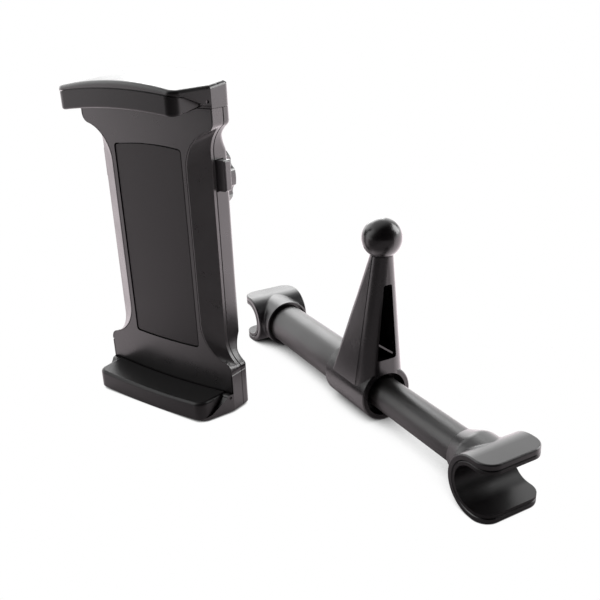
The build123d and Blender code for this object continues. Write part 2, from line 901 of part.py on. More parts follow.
def make_upper_jaw_pad():
    low = arched(
        flare_half,
        arc_at(lip_half, upper_pad_end_z, upper_pad_mid_z, flare_half),
        upper_pad_mid_z,
        roof_mid_z + roof_climb,
    )
    pad = sloping_y(low, lip_front_y, pad_back_y, upper_pad_climb)
    pad &= along_z(pad_plan(), middle_z, roof_mid_z)
    pad = fillet(free_rim(pad.faces().sort_by(Axis.Z)[0]), upper_pad_edge)
    pad &= roof_under(lip_front_y - overcut, pin_y, seat_gap) + roof_under(pin_y, 0, hinge_room)
    brow = along_z(pad_plan() - offset(pad_plan(), -brow_width), middle_z, roof_mid_z)
    brow -= roof_under(lip_front_y - overcut, 0, seat_gap + brow_depth)
    brow_back_y = pin_y - lug_r
    pad -= brow & box(-flare_half, flare_half, lip_front_y, brow_back_y, middle_z, roof_mid_z)
    knuckles, holes = pad_knuckles(upper_pin_z)
    return pad + knuckles - holes


def turned(points):
    """Solid of revolution about Z from a closed (radius, height) outline."""
    return revolve(Plane.XZ * make_face(Polyline(*points, close=True)), Axis.Z)


def on_the_back(solid):
    """Stand a solid that was turned about Z on the cradle's back, along +Y."""
    return Pos(0, 0, socket_z) * Rot(-90, 0, 0) * solid


def make_ball_socket():
    deep_y = spine_back_y - housing_wall
    cup = turned(
        [
            (0, deep_y - socket_flange_thick),
            (socket_flange_r, deep_y - socket_flange_thick),
            (socket_flange_r, deep_y),
            (stem_r, deep_y),
            (stem_r, spine_back_y + overcut),
            (cup_r, nut_front_y),
            (cup_r, cup_taper_y),
            (cup_mouth_r, cup_mouth_y),
            (0, cup_mouth_y),
        ]
    )
    cup -= Pos(0, 0, cup_centre_y) * Sphere(ball_r + ball_room)
    slot_half = slot_width / 2
    slot = box(-slot_half, slot_half, 0, cup_r + overcut, slot_end_y, cup_mouth_y + overcut)
    for number in range(slot_count):
        cup -= Rot(0, 0, number * 360 / slot_count) * slot
    return on_the_back(cup)


def make_socket_nut():
    bore_r = cup_r + nut_room
    lip_y = cup_mouth_y + nut_room
    nut = turned(
        [
            (bore_r, nut_front_y),
            (nut_r - nut_edge, nut_front_y),
            (nut_r, nut_front_y + nut_edge),
            (nut_r, nut_back_y - nut_edge),
            (nut_r - nut_edge, nut_back_y),
            (nut_lip_r + nut_flare, nut_back_y),
            (nut_lip_r, nut_back_y - nut_flare),
            (nut_lip_r, lip_y + nut_edge),
            (cup_mouth_r + nut_room, lip_y),
            (bore_r, cup_taper_y),
        ]
    )
    ring_r = nut_r + flute_r - flute_depth
    flute = rod_z(flute_r, nut_front_y - overcut, nut_back_y + overcut)
    for place in PolarLocations(ring_r, flute_count, 180 / flute_count):
        nut -= place * flute
    return on_the_back(nut)


def bar_place():
    """Frame of the headrest bar: its axis as X, at the height of the lying hooks."""
    return Pos(bar_x, bar_y, hook_r) * Rot(0, 0, bar_yaw)


def ring_x(outer, inner, s0, s1):
    return rod_x(outer, s0, s1) - rod_x(inner, s0 - overcut, s1 + overcut)


def make_outer_tube():
    return ring_x(tube_r, tube_r - tube_wall, tube_left_s, tube_right_s)


def make_tube_bush():
    right_s = tube_right_s - bush_setback
    outer = tube_r - tube_wall - press_fit
    return ring_x(outer, rod_r + running_fit, right_s - bush_length, right_s)


def make_inner_rod():
    return ring_x(rod_r, rod_r - rod_wall, rod_left_s, rod_right_s)


def make_lock_spindle():
    plug_r = rod_r - rod_wall - press_fit
    flange_s = rod_left_s - spindle_flange_thick
    stub_s = flange_s - collet_length - 2 * collet_room
    spindle = rod_x(plug_r, rod_left_s, rod_left_s + spindle_plug_length)
    spindle += rod_x(rod_r - spindle_flange_step, flange_s, rod_left_s)
    spindle += rod_x(stub_r, stub_s, flange_s)
    return spindle + rod_x(spindle_head_r, stub_s - spindle_head_thick, stub_s)


def make_lock_collet():
    right_s = rod_left_s - spindle_flange_thick - collet_room
    left_s = right_s - collet_length
    outer = tube_r - tube_wall - collet_room
    ring = ring_x(outer, stub_r + running_fit, left_s, right_s)
    slit = collet_slit / 2
    return ring - box(left_s - overcut, right_s + overcut, -slit, slit, 0, outer + overcut)


def rounded_plan(left, right, half, front_round, back_round):
    """Rectangle from left to right, symmetric across the bar, with rounded corners."""
    face = Pos((left + right) / 2, 0) * Rectangle(right - left, 2 * half)
    face = fillet(face.vertices().group_by(Axis.X)[-1], front_round)
    return fillet(face.vertices().group_by(Axis.X)[0], back_round)


def at_height(z, plan):
    """Lay a plan at a height above the floor, in the bar's frame."""
    return Plane.XY.offset(z - hook_r) * plan


def crease_groove():
    """Shallow grooves where the tower's flat cheeks meet its rounded front."""
    low = (neck_half - foot_round, -foot_half, foot_z - hook_r)
    high = (neck_half - neck_round, -neck_half, neck_top_z - hook_r)
    line = Line(low, high)
    section = Plane(line @ 0, z_dir=line % 0) * Circle(crease)
    groove = sweep(section, path=line)
    return groove + mirror(groove, Plane.XZ)


def make_ball_post():
    foot = rounded_plan(foot_left_s, neck_half, foot_half, foot_round, foot_back_round)
    neck = rounded_plan(-neck_half, neck_half, neck_half, neck_round, neck_round)
    body = loft([at_height(foot_z, foot), at_height(neck_top_z, neck)], ruled=True)
    body -= crease_groove()

    mouth_s = neck_half + overcut
    pocket_foot = Pos((pocket_foot_left_s + mouth_s) / 2, 0) * Rectangle(
        mouth_s - pocket_foot_left_s, 2 * pocket_foot_half
    )
    pocket_top = Pos((pocket_top_left_s + mouth_s) / 2, 0) * Rectangle(
        mouth_s - pocket_top_left_s, 2 * pocket_top_half
    )
    pocket = loft(
        [at_height(pocket_foot_z, pocket_foot), at_height(pocket_top_z, pocket_top)], ruled=True
    )
    floor_edges = pocket.faces().sort_by(Axis.Z)[0].edges().filter_by(Axis.X)
    pocket = fillet(floor_edges, pocket_foot_round)
    roof_edges = pocket.faces().sort_by(Axis.Z)[-1].edges().filter_by(Axis.X)
    pocket = fillet(roof_edges, pocket_top_round)
    rib = make_face(
        Polyline(
            (-pocket_foot_half, rib_high_z - hook_r),
            (-pocket_foot_half, rib_high_z - hook_r + rib_thick),
            (pocket_foot_half, rib_low_z - hook_r + rib_thick),
            (pocket_foot_half, rib_low_z - hook_r),
            close=True,
        )
    )
    rib = along_x(rib, pocket_foot_left_s, rib_front_s) & body
    ball_h = ball_z - hook_r
    post = body - pocket + rib
    post += rod_z(ball_neck_r, neck_top_z - hook_r - overcut, ball_h)
    post += Pos(0, 0, ball_h) * Sphere(ball_r)
    sleeve = rod_x(hook_r, sleeve_left_s, sleeve_right_s)
    ends = sleeve.edges().filter_by(GeomType.CIRCLE)
    post += chamfer(ends, sleeve_bevel)
    reach = sleeve_right_s - sleeve_left_s
    return post - rod_x(tube_r + press_fit, sleeve_left_s - reach, sleeve_right_s + reach)


def channel_outline(outer, inner, lip):
    """Side view of a U-shaped band round the headrest post, open to +s."""
    return make_face(
        [
            Line((lip, outer), (0, outer)),
            ThreePointArc((0, outer), (-outer, 0), (0, -outer)),
            Line((0, -outer), (lip, -outer)),
            Line((lip, -outer), (lip, -inner)),
            Line((lip, -inner), (0, -inner)),
            ThreePointArc((0, -inner), (-inner, 0), (0, inner)),
            Line((0, inner), (lip, inner)),
            Line((lip, inner), (lip, outer)),
        ]
    )


def channel_band(outer, inner):
    """A U-shaped band as long as the hook, with rounded lips."""
    half = hook_length / 2
    band = along_y(channel_outline(outer, inner, hook_lip), -half, half)
    plan = make_face(
        Polyline((-outer, -half), (hook_lip, -half), (hook_lip, half), (-outer, half), close=True)
    )
    lips = [v for v in plan.vertices() if v.X > 0]
    return band & along_z(fillet(lips, hook_corner), -outer, outer)


def band_rim(band, radius):
    """Edges all round one skin of such a band, at a distance from the channel's middle."""
    rim = []
    for edge in band.edges():
        middle = edge @ 0.5
        reach = abs(middle.Z) if middle.X > 0 else hypot(middle.X, middle.Z)
        seam = abs(middle.X) < 0.01 and abs(middle.Y) < 0.01
        if abs(reach - radius) < 0.01 and not seam:
            rim.append(edge)
    return rim


def saddle(hook, collar_radius):
    """Edge where a hook's collar runs into its band."""
    edges = []
    for edge in hook.edges():
        middle = edge @ 0.5
        on_collar = abs(hypot(middle.Y, middle.Z) - collar_radius) < 0.01
        if on_collar and abs(hypot(middle.X, middle.Z) - hook_r) < 0.01:
            edges.append(edge)
    return edges


def make_hook(collar, collar_radius, collar_s, blend, bore_r, bore_end_s):
    """Hook with its channel's middle at the origin, open to +s, collar along -s."""
    inner = hook_r - hook_wall
    band = channel_band(hook_r, inner)
    band = fillet(band_rim(band, hook_r), hook_edge)
    band = chamfer(band_rim(band, inner), liner_bevel)
    half = hook_length / 2
    channel = rod_y(inner, -half, half) + box(0, hook_r, -half, half, -inner, inner)
    hook = band + (collar - channel)
    hook = fillet(saddle(hook, collar_radius), blend)
    hook -= rod_x(bore_r, collar_s - overcut, bore_end_s)
    seat_s = -inner - hook_screw_sink
    hook -= rod_x(hook_screw_head_r + screw_head_room, seat_s, -inner + hook_wall)
    return hook - rod_x(hook_screw_r + screw_head_room, bore_end_s - overcut, seat_s + overcut)


def make_hook_liner():
    outer = hook_r - hook_wall - liner_gap
    band = channel_band(outer, outer - liner_thick)
    return chamfer(band_rim(band, outer), liner_bevel)


def make_hook_screw():
    seat_s = -(hook_r - hook_wall) - hook_screw_sink
    head = rod_x(hook_screw_head_r, seat_s, seat_s + hook_screw_head_thick)
    return head + rod_x(hook_screw_r, seat_s - hook_screw_length, seat_s)


def make_hook_plug(radius, end_s):
    plug = rod_x(radius, end_s - plug_length, end_s)
    return plug - rod_x(hook_screw_r + screw_fit, end_s - plug_length - overcut, end_s + overcut)


def right_place():
    return bar_place() * Pos(right_hook_s, 0, 0)


def left_place():
    return bar_place() * Pos(left_hook_s, 0, 0) * Rot(0, 0, 180)


def make_right_hook():
    collar_s = right_collar_s - right_hook_s
    taper = Rot(0, 90, 0) * Cone(collar_mouth_r, collar_r, collar_taper)
    collar = Pos(collar_s + collar_taper / 2, 0, 0) * taper
    collar += rod_x(collar_r, collar_s + collar_taper, 0)
    bend = collar.edges().filter_by(GeomType.CIRCLE).sort_by(Axis.X)[1]
    return make_hook(
        fillet(bend, collar_round),
        collar_r,
        collar_s,
        collar_blend,
        rod_r + press_fit,
        rod_right_s - right_hook_s,
    )


def make_left_hook():
    collar_s = left_hook_s - left_collar_s
    bore_end = left_hook_s - tube_left_s
    collar = rod_x(left_collar_r, collar_s, 0)
    front = collar.edges().filter_by(GeomType.CIRCLE).sort_by(Axis.X)[0]
    hook = make_hook(
        fillet(front, left_collar_round),
        left_collar_r,
        collar_s,
        left_collar_blend,
        tube_r + press_fit,
        bore_end,
    )
    mouth = rod_x(tube_r + collar_mouth, collar_s - overcut, collar_s + collar_mouth_depth)
    return hook - mouth


pieces = {
    "fascia": make_fascia(),
    "grip_pad": make_grip_pad(),
    "mid_frame": make_mid_frame(),
    "rear_cover": make_rear_cover(),
    "cover_screws": make_cover_screws(),
    "lower_jaw": make_lower_jaw(),
    "lower_jaw_pad": make_lower_jaw_pad(),
    "lower_jaw_pin": make_jaw_pin(lower_pin_z),
    "jaw_screws": make_jaw_screws(),
    "upper_jaw": make_upper_jaw(),
    "upper_jaw_pad": make_upper_jaw_pad(),
    "upper_jaw_pin": make_jaw_pin(upper_pin_z),
    "guide_rail_right": make_guide_rail(),
    "guide_rail_left": mirror(make_guide_rail(), Plane.YZ),
    "rail_screws": make_rail_screws(),
    "release_button_right": make_release_button(),
    "release_button_left": mirror(make_release_button(), Plane.YZ),
    "release_spring_right": make_release_spring(),
    "release_spring_left": mirror(make_release_spring(), Plane.YZ),
    "ball_socket": make_ball_socket(),
    "socket_nut": make_socket_nut(),
    "outer_tube": bar_place() * make_outer_tube(),
    "tube_bush": bar_place() * make_tube_bush(),
    "ball_post": bar_place() * make_ball_post(),
    "inner_rod": bar_place() * make_inner_rod(),
    "lock_spindle": bar_place() * make_lock_spindle(),
    "lock_collet": bar_place() * make_lock_collet(),
    "right_hook": right_place() * make_right_hook(),
    "right_hook_liner": right_place() * make_hook_liner(),
    "right_hook_screw": right_place() * make_hook_screw(),
    "right_hook_plug": right_place()
    * make_hook_plug(rod_r - rod_wall - press_fit, rod_right_s - right_hook_s),
    "left_hook": left_place() * make_left_hook(),
    "left_hook_liner": left_place() * make_hook_liner(),
    "left_hook_screw": left_place() * make_hook_screw(),
    "left_hook_plug": left_place()
    * make_hook_plug(tube_r - tube_wall - press_fit, left_hook_s - tube_left_s),
}

os.makedirs("parts", exist_ok=True)
for name, shape in pieces.items():
    export_step(shape, f"parts/{name}.step")
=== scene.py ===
import math

import bpy
from mathutils import Matrix, Vector


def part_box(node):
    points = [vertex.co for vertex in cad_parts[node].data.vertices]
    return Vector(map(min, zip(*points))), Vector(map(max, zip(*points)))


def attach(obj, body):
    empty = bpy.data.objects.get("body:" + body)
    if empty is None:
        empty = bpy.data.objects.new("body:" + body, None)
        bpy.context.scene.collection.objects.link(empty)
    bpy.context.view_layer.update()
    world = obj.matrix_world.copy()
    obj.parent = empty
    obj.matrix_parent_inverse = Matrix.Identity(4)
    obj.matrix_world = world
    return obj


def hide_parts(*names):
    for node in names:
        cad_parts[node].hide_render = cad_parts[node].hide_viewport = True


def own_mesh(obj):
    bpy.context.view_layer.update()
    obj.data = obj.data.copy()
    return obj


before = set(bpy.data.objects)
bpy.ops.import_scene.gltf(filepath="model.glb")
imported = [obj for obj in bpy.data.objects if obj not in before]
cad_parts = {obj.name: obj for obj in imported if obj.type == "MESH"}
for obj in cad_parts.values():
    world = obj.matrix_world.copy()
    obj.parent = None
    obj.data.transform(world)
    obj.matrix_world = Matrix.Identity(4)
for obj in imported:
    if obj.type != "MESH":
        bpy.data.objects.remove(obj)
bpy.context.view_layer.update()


# Front panel of the cradle: one moulding of charcoal ABS that fills the hourglass front.
# Its mould is spark eroded, and the panel covers the screws that close the housing.
MM = 0.001


def linear(colour):
    """Linear RGBA of an sRGB hex colour."""
    values = [int(colour[i : i + 2], 16) / 255 for i in (1, 3, 5)]
    return [v / 12.92 if v <= 0.04045 else ((v + 0.055) / 1.055) ** 2.4 for v in values] + [1.0]


def add(tree, kind, inputs, **settings):
    """Add a node with its settings; an input takes a value or the socket it is linked to."""
    made = tree.nodes.new(kind)
    for name, value in settings.items():
        setattr(made, name, value)
    for name, value in inputs.items():
        if isinstance(value, bpy.types.NodeSocket):
            tree.links.new(value, made.inputs[name])
        else:
            made.inputs[name].default_value = value
    return made


def moulded(name, dark, light, roughness, grain_mm, grain_depth_mm, cloud_mm=11.0, shine=0.5):
    """A moulded skin: fine grain in relief, and faint clouds of colour and gloss from the flow.
    Real grain is under 0.1 mm and is drawn several times coarser, so that it shows."""
    octaves = 3.0
    grain_share = 0.5
    faint, full = 0.5, 1.0  # where the blend of clouds and grain mostly lies
    gloss_swing = 0.04
    relief = 0.5
    plastic_ior = 1.53
    material = bpy.data.materials.new(name)
    material.use_nodes = True
    tree = material.node_tree
    place = add(tree, "ShaderNodeTexCoord", {}).outputs["Object"]
    cloud = add(
        tree,
        "ShaderNodeTexNoise",
        {"Vector": place, "Scale": 1 / (cloud_mm * MM), "Detail": octaves},
    )
    grain = add(
        tree,
        "ShaderNodeTexNoise",
        {"Vector": place, "Scale": 1 / (grain_mm * MM), "Detail": octaves},
    )
    blend = add(
        tree,
        "ShaderNodeMath",
        {0: grain.outputs["Fac"], 1: grain_share, 2: cloud.outputs["Fac"]},
        operation="MULTIPLY_ADD",
    )
    tint = add(tree, "ShaderNodeValToRGB", {"Fac": blend.outputs[0]})
    for stop, position, colour in zip(tint.color_ramp.elements, (faint, full), (dark, light)):
        stop.position = position
        stop.color = linear(colour)
    gloss = add(
        tree,
        "ShaderNodeMapRange",
        {
            "Value": blend.outputs[0],
            "From Min": faint,
            "From Max": full,
            "To Min": roughness - gloss_swing,
            "To Max": roughness + gloss_swing,
        },
    )
    bump = add(
        tree,
        "ShaderNodeBump",
        {"Height": grain.outputs["Fac"], "Distance": grain_depth_mm * MM, "Strength": relief},
    )
    shader = tree.nodes["Principled BSDF"]
    tree.links.new(tint.outputs["Color"], shader.inputs["Base Color"])
    tree.links.new(gloss.outputs[0], shader.inputs["Roughness"])
    tree.links.new(bump.outputs[0], shader.inputs["Normal"])
    shader.inputs["IOR"].default_value = plastic_ior
    shader.inputs["Specular IOR Level"].default_value = shine
    return material


def finish_node(name, material):
    """Give a CAD node its finish in every material slot."""
    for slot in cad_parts[name].material_slots:
        slot.material = material


# Spark-eroded ABS: an even charcoal satin that takes a wide, soft light.
fascia_abs = moulded(
    "satin ABS", "#110f10", "#161415", roughness=0.3, grain_mm=0.45, grain_depth_mm=0.006
)
finish_node("fascia", fascia_abs)

# Grip pad: a sheet of silicone rubber let into the front panel, almost flush with it.
# It is punched from rolled sheet and glued into its recess.

# Rolled silicone: a dead matt charcoal with a soft bloom and hardly any gloss.
silicone = moulded(
    "silicone rubber",
    "#1b1819",
    "#211e1f",
    roughness=0.46,
    grain_mm=0.7,
    grain_depth_mm=0.006,
    cloud_mm=16.0,
    shine=0.22,
)
finish_node("grip_pad", silicone)

# Mid frame: the cradle's front shell with its side rails, moulded in black ABS.
# It slopes back from the front panel to its joint with the rear cover.

# Smooth ABS from a polished mould: a deep grey with a clear, slightly soft reflection.
rail_abs = moulded(
    "smooth ABS", "#2c292a", "#322f30", roughness=0.3, grain_mm=0.4, grain_depth_mm=0.003
)
finish_node("mid_frame", rail_abs)

# Rear cover: the cradle's back shell, moulded in the panel's ABS.
# Four screws from the front, behind the panel, hold it to the mid frame.

# Fine-grained ABS: the panel's satin with a tighter grain, so its edges look crisper.
cover_abs = moulded(
    "fine-grained ABS", "#110f10", "#161415", roughness=0.3, grain_mm=0.4, grain_depth_mm=0.006
)
finish_node("rear_cover", cover_abs)

# Jaws: hard ABS shells that carry the hinged rubber pads on short steel pins.
# The upper jaw slides up on its guide rails, and the lower one is screwed to the cover.

# Jaw ABS: a shade blacker than the housing, with the same soft satin.
jaw_abs = moulded(
    "jaw ABS", "#0f0d0e", "#141213", roughness=0.3, grain_mm=0.4, grain_depth_mm=0.006
)
finish_node("lower_jaw", jaw_abs)
finish_node("upper_jaw", jaw_abs)

# Jaw pads: soft rubber that meets the tablet's edges, moulded in one piece each.
# They swing a few degrees on the jaws' pins, to lie flat on the tablet.

# Moulded rubber: black, a little darker and duller than the shells.
jaw_rubber = moulded(
    "soft rubber",
    "#0c0a0b",
    "#110f10",
    roughness=0.36,
    grain_mm=0.5,
    grain_depth_mm=0.006,
    shine=0.25,
)
finish_node("lower_jaw_pad", jaw_rubber)
finish_node("upper_jaw_pad", jaw_rubber)

# Release buttons: small satin ABS keys that stand out of the rear cover's sides.
# Each has its pawl moulded on, and a coil spring pushes it out.

# Button ABS: a lighter grey than the cover, so that the key stands out from its side.
button_abs = moulded(
    "button ABS", "#2c292b", "#322f31", roughness=0.32, grain_mm=0.4, grain_depth_mm=0.006
)
finish_node("release_button_right", button_abs)
finish_node("release_button_left", button_abs)

# Sliding and clamping pieces: nylon mouldings that run against other plastic.
# They keep the skin of their moulds, plain and slightly waxy.

# Moulded nylon: soft-edged reflections on a dark grey.
nylon = moulded(
    "moulded nylon", "#201e1f", "#2a2728", roughness=0.48, grain_mm=0.7, grain_depth_mm=0.008
)
for name in (
    "guide_rail_right",
    "guide_rail_left",
    "ball_socket",
    "tube_bush",
    "lock_spindle",
    "lock_collet",
    "right_hook_plug",
    "left_hook_plug",
):
    finish_node(name, nylon)


# Cover screws, hook screws and hinge pins: cold-headed and drawn steel.
# They are dipped in black zinc, and driven or pressed into the plastic.
def steel_finish(name, colour, roughness, spangle_mm):
    """Bare or plated steel, with a fine spangle in its gloss, drawn coarse enough to show."""
    octaves = 2.0
    gloss_swing = 0.08
    material = bpy.data.materials.new(name)
    material.use_nodes = True
    tree = material.node_tree
    place = add(tree, "ShaderNodeTexCoord", {}).outputs["Object"]
    spangle = add(
        tree,
        "ShaderNodeTexNoise",
        {"Vector": place, "Scale": 1 / (spangle_mm * MM), "Detail": octaves},
    )
    gloss = add(
        tree,
        "ShaderNodeMapRange",
        {
            "Value": spangle.outputs["Fac"],
            "To Min": roughness - gloss_swing,
            "To Max": roughness + gloss_swing,
        },
    )
    shader = tree.nodes["Principled BSDF"]
    tree.links.new(gloss.outputs[0], shader.inputs["Roughness"])
    shader.inputs["Base Color"].default_value = linear(colour)
    shader.inputs["Metallic"].default_value = 1.0
    return material


# Black zinc: a dark, slightly mottled metal.
zinc = steel_finish("black zinc", "#343233", roughness=0.35, spangle_mm=0.7)
for name in (
    "cover_screws",
    "lower_jaw_pin",
    "upper_jaw_pin",
    "right_hook_screw",
    "left_hook_screw",
):
    finish_node(name, zinc)

# Release springs: coils of bright wire between a post of the rear cover and each button's flange.
# Each sits on its post, whose end stays where it is.
wire_r = 0.25 * MM
wire_sides = 12
coil_r = 1.6 * MM
coil_turns = 3.5
coil_steps_per_turn = 32
coil_length = 6.7 * MM
coil_root = Vector((21.2, 11.4, 102.2)) * MM
smooth_angle = math.radians(35)
# Drawn wire: a bright grey metal with narrow highlights along the turns.
wire = steel_finish("drawn wire", "#a5a4a6", roughness=0.25, spangle_mm=0.4)
bpy.ops.object.select_all(action="DESELECT")
bpy.ops.mesh.primitive_circle_add(
    vertices=wire_sides, radius=wire_r, location=(coil_r, 0, 0), rotation=(math.radians(90), 0, 0)
)
bpy.ops.object.transform_apply(location=True, rotation=True, scale=True)
right_spring = bpy.context.object
coil = right_spring.modifiers.new("coil", "SCREW")
coil.angle = math.radians(360 * coil_turns)
coil.screw_offset = coil_length
coil.steps = coil.render_steps = round(coil_turns * coil_steps_per_turn)
coil.use_normal_calculate = True
bpy.ops.object.modifier_apply(modifier=coil.name)
bpy.ops.object.mode_set(mode="EDIT")
bpy.ops.mesh.select_all(action="SELECT")
bpy.ops.mesh.fill_holes(sides=0)
bpy.ops.mesh.normals_make_consistent(inside=False)
bpy.ops.object.mode_set(mode="OBJECT")
bpy.ops.object.shade_smooth_by_angle(angle=smooth_angle)
right_spring.data.materials.append(wire)
bpy.ops.object.duplicate()
left_spring = bpy.context.object
for spring, hand, side in ((right_spring, "right", 1), (left_spring, "left", -1)):
    bpy.ops.object.select_all(action="DESELECT")
    spring.select_set(True)
    bpy.context.view_layer.objects.active = spring
    spring.rotation_euler.y = math.radians(90 * side)
    spring.location = coil_root * Vector((side, 1, 1))
    bpy.ops.object.transform_apply(location=True, rotation=True, scale=True)
    spring.name = "coil_spring_" + hand
    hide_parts("release_spring_" + hand)
    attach(spring, "base")
    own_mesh(spring)

# Rail and jaw screws: pan heads with a cross recess, seen at the cradle's back and underside.
# Of the same plated steel, they hold the guide rails to the upper jaw and the lower jaw to the
# rear cover, one screw at each side.
head_r = 2.2 * MM
head_thick = 1.2 * MM
head_round = 0.5 * MM
head_round_steps = 5
head_sides = 48
facing_up = 0.9
shank_r = 1.2 * MM
shank_sides = 32
slot_width = 0.55 * MM
slot_length = 2.5 * MM
slot_depth = 0.7 * MM
slot_angles = (45, 135)
heads_back = math.radians(-90)
heads_down = math.radians(180)
for name, body, turn in (
    ("rail_screws", "carriage", heads_back),
    ("jaw_screws", "base", heads_down),
):
    low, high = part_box(name)
    head_way = Matrix.Rotation(turn, 3, "X") @ Vector((0, 0, 1))
    length = abs((high - low).dot(head_way))
    shank_length = length - head_thick
    seat = (low + high) / 2 + head_way * (length / 2 - head_thick)
    seat_x = high.x - head_r
    bpy.ops.object.select_all(action="DESELECT")
    bpy.ops.mesh.primitive_cylinder_add(
        vertices=head_sides, radius=head_r, depth=head_thick, location=(0, 0, head_thick / 2)
    )
    screw = bpy.context.object
    for face in screw.data.polygons:
        face.select = face.normal.z > facing_up
    bpy.ops.object.mode_set(mode="EDIT")
    bpy.ops.mesh.region_to_loop()
    bpy.ops.mesh.bevel(offset=head_round, segments=head_round_steps)
    bpy.ops.object.mode_set(mode="OBJECT")
    for angle in slot_angles:
        bpy.ops.mesh.primitive_cube_add(size=1, location=(0, 0, head_thick))
        blade = bpy.context.object
        blade.scale = (slot_length, slot_width, 2 * slot_depth)
        blade.rotation_euler.z = math.radians(angle)
        cut = screw.modifiers.new("recess", "BOOLEAN")
        cut.operation = "DIFFERENCE"
        cut.object = blade
        bpy.context.view_layer.objects.active = screw
        bpy.ops.object.modifier_apply(modifier=cut.name)
        bpy.ops.object.select_all(action="DESELECT")
        blade.select_set(True)
        bpy.ops.object.delete()
    bpy.ops.mesh.primitive_cylinder_add(
        vertices=shank_sides, radius=shank_r, depth=shank_length, location=(0, 0, -shank_length / 2)
    )
    screw.select_set(True)
    bpy.context.view_layer.objects.active = screw
    bpy.ops.object.join()
    bpy.ops.object.transform_apply(location=True, rotation=True, scale=True)
    bpy.ops.object.duplicate()
    twin = bpy.context.object
    for placed, x in ((screw, -seat_x), (twin, seat_x)):
        placed.rotation_euler.x = turn
        placed.location = (x, seat.y, seat.z)
        placed.select_set(True)
    bpy.context.view_layer.objects.active = screw
    bpy.ops.object.join()
    bpy.ops.object.transform_apply(location=True, rotation=True, scale=True)
    bpy.ops.object.shade_smooth_by_angle(angle=smooth_angle)
    screw.name = "pan_head_" + name
    screw.data.materials.append(zinc)
    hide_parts(name)
    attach(screw, body)

# Ring nut of the ball socket: fluted for the fingers, moulded in the cover's ABS.
# It screws onto the socket's split cup and draws it together round the ball.
finish_node("socket_nut", cover_abs)

# Bar: drawn steel tubes that slide one in the other, with a baked coat of powder.
# The outer one is held in the ball post's sleeve, and a collet locks the inner one.

# Powder coat: an even black satin whose highlights run the length of the tube.
tube_coat = moulded(
    "satin powder coat",
    "#121010",
    "#171515",
    roughness=0.4,
    grain_mm=0.5,
    grain_depth_mm=0.003,
    cloud_mm=18.0,
)
finish_node("outer_tube", tube_coat)
finish_node("inner_rod", tube_coat)

# Ball post: sleeve, pocketed tower and ball in one stiff moulding.
# Its sleeve closes on the outer tube, and the ball snaps into the cradle's socket.

# Glass-filled nylon: a near black with a close shine, faintly clouded by its fibres.
post_nylon = moulded(
    "glass-filled nylon", "#090708", "#0e0c0d", roughness=0.24, grain_mm=0.4, grain_depth_mm=0.006
)
finish_node("ball_post", post_nylon)

# Hooks: ABS channels that hang on the headrest's posts, lined with the jaw pads' rubber.
# Each is screwed to the end of its tube through the bottom of the channel.

# Hook ABS: black, with broad, gentle highlights over the collar and the channel's back.
hook_abs = moulded(
    "hook ABS", "#0d0b0d", "#121012", roughness=0.34, grain_mm=0.4, grain_depth_mm=0.006
)
finish_node("right_hook", hook_abs)
finish_node("left_hook", hook_abs)
finish_node("right_hook_liner", jaw_rubber)
finish_node("left_hook_liner", jaw_rubber)

# Studio floor: white paper with painted light, bright behind the object and at its right, dim in
# front.
# The camera sees it glow plain white, with a painted contact shadow near the object. Reflections
# see a painted glow, brighter behind, with a painted shade of the object on it.
back_way = Vector((-0.58, 0.81, 0.0)).normalized()
right_way = Vector((back_way.y, -back_way.x, 0.0))
floor_half = 3.0
# The edge of the painted light on the paper bends round the object, so it has a slant for each
# side.
painted_slant_right = back_way + right_way * 0.35
painted_slant_left = back_way - right_way * 0.15
dim_at, bright_at = -65 * MM, 30 * MM
dim, bright = 0.4, 3.0
# The painted light is stronger at the right, and the left of the paper has only a share of it.
left_at, right_at = -50 * MM, 30 * MM
left_share = 0.65
# The painted shade darkens the paper round the object, and a narrow painted contact shadow shows
# where it touches.
shade_reach = 120 * MM
shade_rays = 8
shaded, unshaded = 0.4, 0.95
shade_least = 0.05
contact_reach = 24 * MM
contact_rays = 16
touching, apart = 0.05, 0.55
paper_white = (1, 1, 1, 1)
bpy.ops.object.select_all(action="DESELECT")
bpy.ops.mesh.primitive_plane_add(size=2 * floor_half, location=(0, 0, 0))
floor = bpy.context.object
floor.name = "floor"
# Matt paper: plain white where light bounces off it, and a painted glow elsewhere, faintly pink
# where it is mirrored in the black plastic.
paper = bpy.data.materials.new("white paper")
paper.use_nodes = True
tree = paper.node_tree
tree.nodes.remove(tree.nodes["Principled BSDF"])
ray = add(tree, "ShaderNodeLightPath", {})
place = add(tree, "ShaderNodeTexCoord", {}).outputs["Object"]
beside = add(tree, "ShaderNodeVectorMath", {0: place, 1: right_way}, operation="DOT_PRODUCT")
to_right = add(tree, "ShaderNodeVectorMath", {0: place, 1: painted_slant_right}, operation="DOT_PRODUCT")
to_left = add(tree, "ShaderNodeVectorMath", {0: place, 1: painted_slant_left}, operation="DOT_PRODUCT")
depth = add(
    tree,
    "ShaderNodeMath",
    {0: to_right.outputs["Value"], 1: to_left.outputs["Value"]},
    operation="MAXIMUM",
)
# Painted light: the paper's glow in reflections, dim in front and bright behind.
painted_light = add(
    tree,
    "ShaderNodeMapRange",
    {
        "Value": depth.outputs[0],
        "From Min": dim_at,
        "From Max": bright_at,
        "To Min": dim,
        "To Max": bright,
    },
    interpolation_type="SMOOTHSTEP",
)
from_right = add(
    tree,
    "ShaderNodeMapRange",
    {
        "Value": beside.outputs["Value"],
        "From Min": left_at,
        "From Max": right_at,
        "To Min": left_share,
        "To Max": 1.0,
    },
    interpolation_type="SMOOTHSTEP",
)
